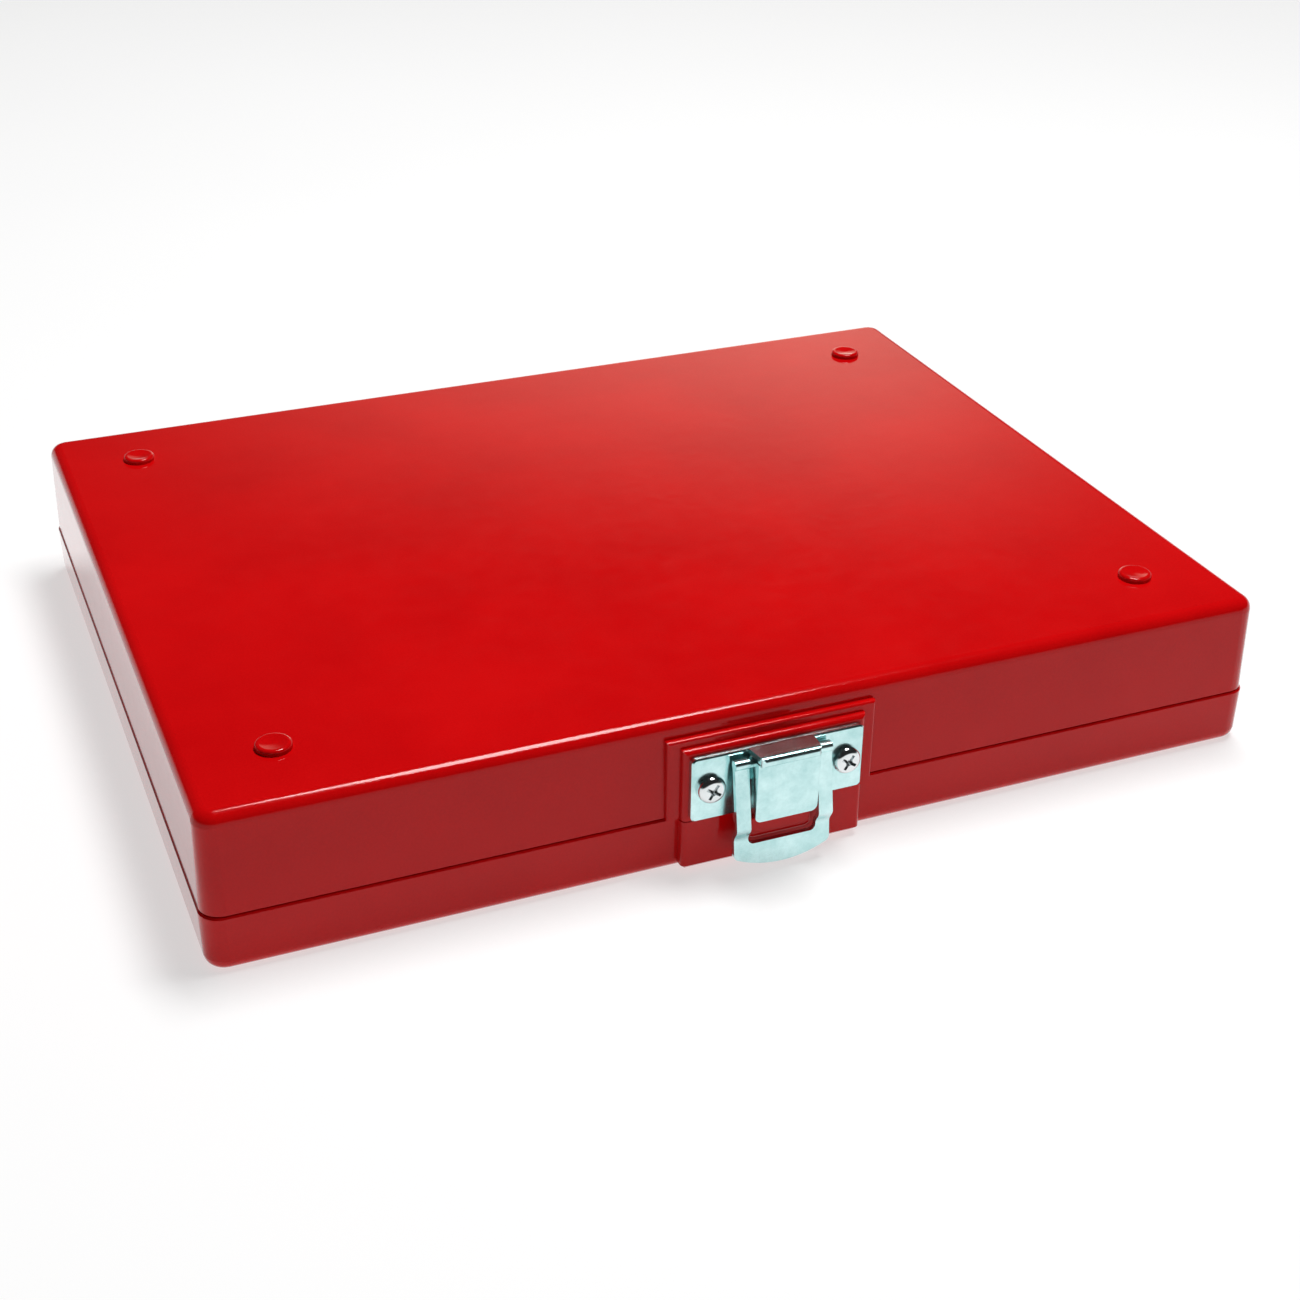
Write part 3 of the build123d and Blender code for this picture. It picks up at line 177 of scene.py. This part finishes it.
def tray_plastic():
    """Black formed tray with a fine spark texture."""
    made, t = material("tray_black")
    at = t.coords()
    spark = t.noise(at, 2200.0, 3.0, 0.7)
    s = t.surface(Metallic=0.0, IOR=1.48, Specular_IOR_Level=0.4)
    t.link(t.ramp(spark, 0.3, (0.016, 0.016, 0.017), 0.7, (0.032, 0.032, 0.034)), s["Base Color"])
    t.link(t.spread(t.noise(at, 60.0, 2.0), *BAND, 0.42, 0.58), s["Roughness"])
    t.link(t.bump(spark, 0.00005, 0.7), s["Normal"])
    return made


def zinc_plate():
    """Clear-passivated zinc plate: bluish white, faintly cloudy, with fine rolling marks."""
    made, t = material("zinc_clear")
    at = t.coords()
    clouds = t.noise(at, 190.0, 6.0, 0.65)
    speckle = t.noise(at, 3000.0, 2.0, 0.7)
    marks = t.noise(t.stretched(at, (1.0, 1.0, 14.0)), 260.0, 2.0)
    s = t.surface(Metallic=1.0, IOR=1.5)
    t.link(t.ramp(clouds, 0.3, (0.40, 0.66, 0.66), 0.66, (0.66, 0.90, 0.90)), s["Base Color"])
    t.link(t.spread(clouds, *BAND, 0.16, 0.26), s["Roughness"])
    fine = t.bump(speckle, 0.00001, 0.4)
    t.link(t.bump(marks, 0.00002, 0.25, fine), s["Normal"])
    return made


def bright_metal(name, dark, light, rough, grain_scale, grain_depth):
    """Plated or satin steel: cloudy tone, smudged gloss and a fine grain."""
    made, t = material(name)
    at = t.coords()
    clouds = t.noise(at, 90.0, 3.0, 0.6)
    grain = t.noise(at, grain_scale, 2.0, 0.7)
    s = t.surface(Metallic=1.0, IOR=1.5)
    t.link(t.ramp(clouds, 0.3, dark, 0.7, light), s["Base Color"])
    t.link(t.spread(clouds, *BAND, *rough), s["Roughness"])
    t.link(t.bump(grain, grain_depth, 0.6), s["Normal"])
    return made


def grip_plastic():
    """Satin black moulded grip with a leathery fine texture."""
    made, t = material("grip_black")
    at = t.coords()
    pebble = t.noise(at, 1500.0, 2.0, 0.6)
    s = t.surface(Metallic=0.0, IOR=1.49, Specular_IOR_Level=0.5)
    t.link(t.ramp(pebble, 0.3, (0.022, 0.022, 0.024), 0.7, (0.042, 0.042, 0.045)), s["Base Color"])
    t.link(t.spread(t.noise(at, 110.0, 2.0), *BAND, 0.34, 0.46), s["Roughness"])
    t.link(t.bump(pebble, 0.00004, 0.7), s["Normal"])
    return made


SLOT_MATERIALS = {
    "case_plastic": case_plastic(),
    "tray_plastic": tray_plastic(),
    "zinc_plated_steel": zinc_plate(),
    "chrome_steel": bright_metal(
        "chrome", (0.66, 0.67, 0.68), (0.80, 0.81, 0.82), (0.18, 0.28), 1800.0, 0.000004),
    "bright_steel": bright_metal(
        "satin_steel", (0.44, 0.45, 0.46), (0.60, 0.61, 0.62), (0.24, 0.36), 2400.0, 0.00001),
    "tool_steel": bright_metal(
        "phosphated_steel", (0.10, 0.10, 0.105), (0.19, 0.19, 0.20), (0.34, 0.48), 2600.0, 0.00002),
    "grip_plastic": grip_plastic(),
}


NODE_MATERIALS = {
    "latch_screws": bright_metal(
        "screw_plate", (0.66, 0.70, 0.71), (0.82, 0.86, 0.87), (0.08, 0.16), 1800.0, 0.000004),
}


def dress_frame():
    """Gives every CAD node the worked-up material of its record slot, or its own where it has one."""
    for name, node in nodes.items():
        for place in node.material_slots:
            place.material = NODE_MATERIALS.get(name, SLOT_MATERIALS[place.material.name])


# ---------------------------------------------------------------- stage
def stage_floor():
    """Softly self-lit white table, so the case stands without a hard shadow."""
    made, t = material("studio_floor")
    tone = t.noise(t.coords(), 3.0, 2.0)
    s = t.surface(Metallic=0.0, Specular_IOR_Level=0.2)
    low, high = (FLOOR_GREY - FLOOR_MOTTLE,) * 3, (FLOOR_GREY + FLOOR_MOTTLE,) * 3
    t.link(t.ramp(tone, 0.3, low, 0.7, high), s["Base Color"])
    s["Roughness"].default_value = 0.8
    s["Emission Color"].default_value = WHITE
    s["Emission Strength"].default_value = FLOOR_GLOW
    mesh = bpy.data.meshes.new("studio_floor")
    corners = [(x * FLOOR_HALF, y * FLOOR_HALF, 0.0) for x, y in ((-1, -1), (1, -1), (1, 1), (-1, 1))]
    mesh.from_pydata(corners, [], [(0, 1, 2, 3)])
    mesh.materials.append(made)
    floor = bpy.data.objects.new("studio_floor", mesh)
    bpy.context.scene.collection.objects.link(floor)
    floor.location.z = cad_low.z


def area_light(name, at, size, watts, aim):
    """Rectangular soft light that the camera itself does not see."""
    lamp = bpy.data.lights.new(name, "AREA")
    lamp.shape = "RECTANGLE"
    lamp.size, lamp.size_y = size
    lamp.energy = watts
    light = bpy.data.objects.new(name, lamp)
    bpy.context.scene.collection.objects.link(light)
    light.location = at
    light.rotation_euler = (Vector(aim) - Vector(at)).to_track_quat("-Z", "Y").to_euler()
    light.visible_camera = False


def studio_world():
    """Pale at the horizon, dim overhead, with one soft glow low behind the right of the case."""
    world = bpy.data.worlds.new("studio_world")
    bpy.context.scene.world = world
    t = Tree(world)
    direction = t.add("ShaderNodeTexCoord").outputs["Generated"]
    split = t.add("ShaderNodeSeparateXYZ")
    t.link(direction, split.inputs["Vector"])
    sky = t.spread(split.outputs["Z"], 0.0, WORLD_HORIZON_TOP, WORLD_HORIZON, WORLD_ZENITH)
    low_band = t.spread(split.outputs["Z"], *GLOW_FADE_Z, GLOW_STRENGTH, 0.0, "SMOOTHSTEP")
    left_edge = t.spread(split.outputs["X"], *GLOW_RISE_X, 0.0, 1.0, "SMOOTHSTEP")
    right_edge = t.spread(split.outputs["X"], *GLOW_FALL_X, 1.0, 0.0, "SMOOTHSTEP")
    behind = t.spread(split.outputs["Y"], *GLOW_BEHIND_Y, 0.0, 1.0, "SMOOTHSTEP")
    window = t.math("MULTIPLY", t.math("MULTIPLY", left_edge, right_edge), behind)
    plain, glow = t.add("ShaderNodeBackground"), t.add("ShaderNodeBackground")
    t.link(sky, plain.inputs["Strength"])
    t.link(t.math("MULTIPLY", low_band, window), glow.inputs["Strength"])
    plain.inputs["Color"].default_value = WHITE
    glow.inputs["Color"].default_value = GLOW_TINT
    both = t.add("ShaderNodeAddShader")
    t.link(plain.outputs["Background"], both.inputs[0])
    t.link(glow.outputs["Background"], both.inputs[1])
    t.link(both.outputs["Shader"], t.add("ShaderNodeOutputWorld").inputs["Surface"])


def studio_camera():
    """Camera at CAMERA_AT, turned by its azimuth, elevation and roll."""
    az, el, roll = (math.radians(v) for v in (CAMERA_AZIMUTH, CAMERA_ELEVATION, CAMERA_ROLL))
    back = Vector((math.sin(az) * math.cos(el), -math.cos(az) * math.cos(el), math.sin(el)))
    right = Vector((0, 0, 1)).cross(back).normalized()
    up = back.cross(right)
    turned_right = right * math.cos(roll) + up * math.sin(roll)
    turned_up = up * math.cos(roll) - right * math.sin(roll)
    data = bpy.data.cameras.new("studio_camera")
    data.sensor_width = SENSOR_MM
    data.lens = FOCAL_MM
    data.clip_start = NEAR_CLIP
    camera = bpy.data.objects.new("studio_camera", data)
    bpy.context.scene.collection.objects.link(camera)
    pose = Matrix((turned_right, turned_up, back)).transposed().to_4x4()
    pose.translation = CAMERA_AT
    camera.matrix_world = pose
    bpy.context.scene.camera = camera


dress_frame()
stage_floor()
studio_world()
area_light("overhead_softbox", SOFTBOX_AT, SOFTBOX_SIZE, SOFTBOX_WATTS, (0.0, 0.0, 0.0))
studio_camera()
bpy.context.scene.view_settings.view_transform = "Standard"
